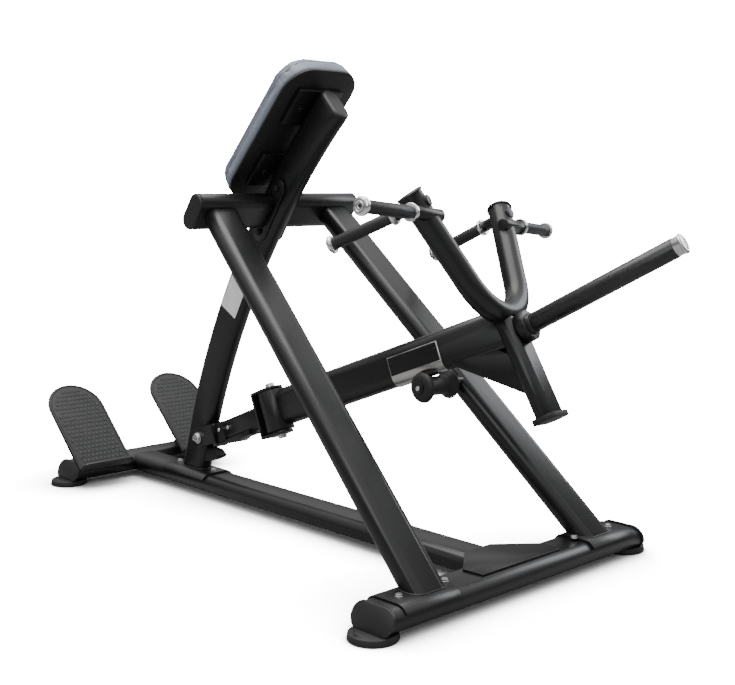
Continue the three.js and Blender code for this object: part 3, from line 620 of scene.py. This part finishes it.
def handle_rings(name, matrix, neck, tip):
    """Turned grooves on both collars of a handle, and the plug in its end."""
    cap = HANDLE_CAP
    face = matrix @ Matrix.Translation((0, 0, (tip - 0.4) * MM))
    washer_ring(name + "_rim", face, "lever", cap * 0.56, cap * 0.74, 1.4, CHROME)
    washer_ring(name + "_lip", face, "lever", cap * 0.24, cap * 0.4, 1.5, CHROME)
    bm = bmesh.new()
    ring_lathe(bm, [(0, 0), (cap * 0.22, 0), (cap * 0.2, 0.9), (0, 1.1)], 24, face)
    piece(name + "_plug", from_bmesh(name + "_plug", bm), RUBBER, "lever")
    for i, (z, grow) in enumerate(((neck - 5.5, -3.0), (neck - 2.2, -1.5), (tip - 16.2, -4.5))):
        ring = matrix @ Matrix.Translation((0, 0, z * MM))
        washer_ring("%s_ring_%d" % (name, i), ring, "lever", 11.5, cap + grow, 2.0, CHROME)


def handle_details():
    for side, label in NEAR_FAR:
        for word, (root, end, neck, tip) in (("side", SIDE_HANDLE), ("rear", REAR_HANDLE)):
            handle_rings("%s_cap_%s" % (word, label), handle_line(root, end, side), neck, tip)


def thin_plate(name, corners, outward, thick, material, body, round_by=2.0):
    """Flat plate with rounded corners, from corners that run round it."""
    bm = bmesh.new()
    face = bm.faces.new([bm.verts.new(c) for c in corners])
    grown = bmesh.ops.extrude_face_region(bm, geom=[face])
    moved = [g for g in grown["geom"] if isinstance(g, bmesh.types.BMVert)]
    bmesh.ops.translate(bm, verts=moved, vec=outward.normalized() * thick * MM)
    upright = []
    for edge in bm.edges:
        run = (edge.verts[0].co - edge.verts[1].co).normalized()
        if abs(run.dot(outward.normalized())) > 0.99:
            upright.append(edge)
    bmesh.ops.bevel(bm, geom=upright, offset=round_by * MM, segments=4, affect="EDGES")
    mesh = from_bmesh(name, bm)
    sharp_by_angle(mesh, 30)
    return piece(name, mesh, material, body)


def blank_label():
    corners = [at(-30.3, y, z) for y, z in ((1232.5, 672), (1158, 630), (1110, 710), (1170, 775))]
    thin_plate("blank_plate", corners, -X, 0.5, LABEL, "frame")


def scuff_details():
    side = LEVER.to_3x3() @ -Y
    # Painted reflection: a thin black sheet over the upper half of the stainless scuff plate stands in for
    # the dark surroundings the polished plate reflects there.
    corners = [LEVER @ (Vector((p, -32.45, h)) * MM) for p, h in ((479, 8), (653, 8), (653, 62), (479, 62))]
    thin_plate("dark_reflection_sheet", corners, side, 0.5, POWDER, "lever", 1.0)
    for i, p in enumerate((484, 643)):
        place = LEVER @ (Vector((p, -32.9, 43)) * MM)
        cap_screw("scuff_screw_%d" % i, spot(place, side), "lever", 5, 2.4, RUBBER)


def tread_bricks():
    """Raised bricks inside a smooth border on each foot plate, and a bead along the border."""
    for side, label in NEAR_FAR:
        matrix = step_frame(side)
        bm = bmesh.new()
        pitch_x, pitch_y = 16.2, 18.0
        half = 95
        for row in range(20):
            y = 14 + row * pitch_y
            shift = pitch_x / 2 if row % 2 else 0
            for column in range(-7, 8):
                x = column * pitch_x + shift
                edge = half - 10
                inside = abs(x) < edge and (y < STEP_CURVE_Y or math.hypot(x, y - STEP_CURVE_Y) < edge)
                if inside and y < STEP_LONG - 18:
                    brick(bm, matrix, x, y, 11.8, 12.6)
        mesh = from_bmesh("tread_bricks_" + label, bm)
        sharp_by_angle(mesh, 35)
        piece("tread_bricks_" + label, mesh, TREAD, "frame")
        rim = [matrix @ (Vector((x, y, 0.4)) * MM) for x, y in tread_edge(98)]
        bead("tread_rim_" + label, even_path(rim, 8), 1.6, TREAD, "frame")


def tread_edge(half):
    points = [(-half, 8), (half, 8)]
    for i in range(17):
        turn = math.pi * i / 16
        points.append((half * math.cos(turn), STEP_CURVE_Y + half * math.sin(turn)))
    return points


def brick(bm, matrix, x, y, wide, long):
    """A low block with sloped sides."""
    levels = ((0.0, 1.0), (1.3, 0.9), (1.6, 0.78))
    rings = []
    for height, size in levels:
        ring = []
        for sx, sy in ((-1, -1), (1, -1), (1, 1), (-1, 1)):
            local = Vector((x + sx * wide / 2 * size, y + sy * long / 2 * size, height)) * MM
            ring.append(bm.verts.new(matrix @ local))
        rings.append(ring)
    for a, b in zip(rings, rings[1:]):
        for k in range(4):
            bm.faces.new((a[k], a[(k + 1) % 4], b[(k + 1) % 4], b[k]))
    bm.faces.new(rings[-1])


# ---------- cushion ----------


def evaluated_mesh(obj):
    graph = bpy.context.evaluated_depsgraph_get()
    return bpy.data.meshes.new_from_object(obj.evaluated_get(graph))


def apply_all(obj):
    mesh = evaluated_mesh(obj)
    obj.modifiers.clear()
    obj.data = mesh


def puffed(obj, pin_below, most):
    """Inflates a closed form as cloth, holding the side it rests on, and caps how far a point moves."""
    start = [v.co.copy() for v in obj.data.vertices]
    held = obj.vertex_groups.new(name="held")
    held.add([i for i, p in enumerate(start) if p.z < pin_below], 1.0, "REPLACE")
    cloth = obj.modifiers.new("cloth", "CLOTH")
    cloth.settings.use_pressure = True
    cloth.settings.uniform_pressure_force = 4
    cloth.settings.effector_weights.gravity = 0
    cloth.settings.vertex_group_mass = "held"
    scene = bpy.context.scene
    for step in range(1, 21):
        scene.frame_set(step)
    moved = evaluated_mesh(obj)
    for vertex, first, last in zip(obj.data.vertices, start, moved.vertices):
        shift = last.co - first
        if shift.length > most:
            shift *= most / shift.length
        vertex.co = first + shift
        vertex.co.z = max(vertex.co.z, 0.0004)
    obj.modifiers.clear()
    scene.frame_set(1)


def pad_outline(half_x, half_y, corner, z):
    points = []
    for i in range(48):
        quarter, k = divmod(i, 12)
        turn = math.pi / 2 * (quarter + k / 12)
        cx = (half_x - corner) * (1 if quarter in (0, 3) else -1)
        cy = (half_y - corner) * (1 if quarter in (0, 1) else -1)
        points.append(Vector((cx + corner * math.cos(turn), cy + corner * math.sin(turn), z)) * MM)
    return points


def cushion():
    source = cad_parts["chest_pad"]
    mesh = source.data.copy()
    mesh.transform(PAD.inverted())
    for vertex in mesh.vertices:
        vertex.co.z *= 1.06
    obj = bpy.data.objects.new("pad_cushion", mesh)
    bpy.context.scene.collection.objects.link(obj)
    mesh.materials.clear()
    mesh.materials.append(VINYL)
    remesh = obj.modifiers.new("remesh", "REMESH")
    remesh.mode = "VOXEL"
    remesh.voxel_size = 0.005
    apply_all(obj)
    puffed(obj, 0.004, 0.008)
    for vertex in obj.data.vertices:
        local = vertex.co / MM
        near_seam = math.exp(-((local.z - 44) / 3.0) ** 2)
        inward = Vector((local.x, local.y, 0)).normalized()
        if max(abs(local.x) / 138, abs(local.y) / 258) > 0.9:
            vertex.co -= inward * near_seam * 1.6 * MM
    smooth = obj.modifiers.new("smooth", "SMOOTH")
    smooth.iterations = 1
    smooth.factor = 0.5
    subdivide = obj.modifiers.new("subdivide", "SUBSURF")
    subdivide.levels = 1
    subdivide.render_levels = 1
    apply_all(obj)
    seam_points = []
    for point in even_path(pad_outline(150, 270, 92, 44), 7):
        found, place, _, _ = obj.closest_point_on_mesh(point)
        seam_points.append(PAD @ place)
    obj.data.transform(PAD)
    if not obj.data.materials:
        obj.data.materials.append(VINYL)
    for polygon in obj.data.polygons:
        polygon.use_smooth = True
    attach(obj, "frame")
    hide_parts("chest_pad")
    bead("pad_seam", seam_points, 1.3, VINYL, "frame")


weld_feet()
base_bolts()
bracket_bolts()
pad_bolts()
clevis_screws()
pivot_washers()
spool_end()
sleeve_mark()
handle_details()
blank_label()
scuff_details()
tread_bricks()
cushion()

# ---------- camera and light ----------


def soft_light(name, place, target, size, power, colour=(1, 1, 1)):
    data = bpy.data.lights.new(name, "AREA")
    data.shape = "RECTANGLE"
    data.size, data.size_y = size
    data.energy = power
    data.color = colour
    obj = bpy.data.objects.new(name, data)
    obj.location = place
    obj.rotation_euler = (Vector(target) - Vector(place)).to_track_quat("-Z", "Y").to_euler()
    bpy.context.scene.collection.objects.link(obj)


def set_stage():
    camera = bpy.data.cameras.new("camera")
    camera.sensor_width = 36
    camera.lens = 57.49
    obj = bpy.data.objects.new("camera", camera)
    obj.location = at(-2340.1, -1922.5, 1054.45)
    obj.rotation_euler = (math.radians(90 - 7.486), 0, math.radians(-43.349))
    bpy.context.scene.collection.objects.link(obj)
    bpy.context.scene.camera = obj

    mesh = bpy.data.meshes.new("floor")
    corners = [(-40, -40, 0), (40, -40, 0), (40, 40, 0), (-40, 40, 0)]
    mesh.from_pydata([Vector(c) for c in corners], [], [(0, 1, 2, 3)])
    floor = bpy.data.objects.new("floor", mesh)
    floor.location.z = -0.0002
    bpy.context.scene.collection.objects.link(floor)
    paint = Nodes("floor_glow_with_painted_shadow")
    tone = paint.span(paint.noise(0.6, 2, 0.5), 0.3, 0.7, 0.94, 0.96)
    seen = paint.tree.nodes.new("ShaderNodeLightPath").outputs["Is Camera Ray"]
    paint.colour(paint.maths("MULTIPLY", tone, seen), (0.3, 0.3, 0.3), (1, 1, 1))
    paint.fixed(rough=0.7, gloss=0.0)
    # Painted shadow: for camera rays the floor glows white, and ambient occlusion dims that glow near the
    # frame into a painted contact shadow; other rays see a plain 0.3 grey floor.
    shade = paint.tree.nodes.new("ShaderNodeAmbientOcclusion")
    shade.inputs["Distance"].default_value = 0.3
    glow_outside_painted_shadow = paint.maths("POWER", paint.span(shade.outputs["AO"], 0.3, 1.0, 0.03, 1.0), 2.4)
    lit = paint.maths("MULTIPLY", seen, paint.maths("MULTIPLY", glow_outside_painted_shadow, 18.0))
    paint.shader.inputs["Emission Color"].default_value = (1, 1, 1, 1)
    paint.link(lit, paint.shader.inputs["Emission Strength"])
    mesh.materials.append(paint.material)

    world = bpy.data.worlds.new("studio")
    world.use_nodes = True
    tree = world.node_tree
    back = tree.nodes["Background"]
    ray = tree.nodes.new("ShaderNodeLightPath")
    place = tree.nodes.new("ShaderNodeTexCoord")
    split = tree.nodes.new("ShaderNodeSeparateXYZ")
    tree.links.new(place.outputs["Generated"], split.inputs["Vector"])
    sky = tree.nodes.new("ShaderNodeMapRange")
    for socket, number in zip(sky.inputs[1:5], (0.08, 0.95, 0.1, 1.7)):
        socket.default_value = number
    tree.links.new(split.outputs["Z"], sky.inputs["Value"])
    shown = tree.nodes.new("ShaderNodeMix")
    shown.inputs["B"].default_value = 30.0
    tree.links.new(ray.outputs["Is Camera Ray"], shown.inputs["Factor"])
    tree.links.new(sky.outputs["Result"], shown.inputs["A"])
    tree.links.new(shown.outputs["Result"], back.inputs["Strength"])
    back.inputs["Color"].default_value = (1, 1, 1, 1)
    bpy.context.scene.world = world
    soft_light("overhead", (-0.4, 0.2, 3.6), (0, 0, 0), (2.6, 2.6), 95, (1.0, 0.985, 0.96))
    soft_light("side", (3.6, -1.0, 2.4), (0, 0, 0.5), (2.0, 2.0), 45, (0.93, 0.96, 1.0))
    soft_light("front", (-3.4, -2.2, 2.6), (0, 0, 0.6), (1.2, 2.4), 26, (0.93, 0.96, 1.0))


set_stage()
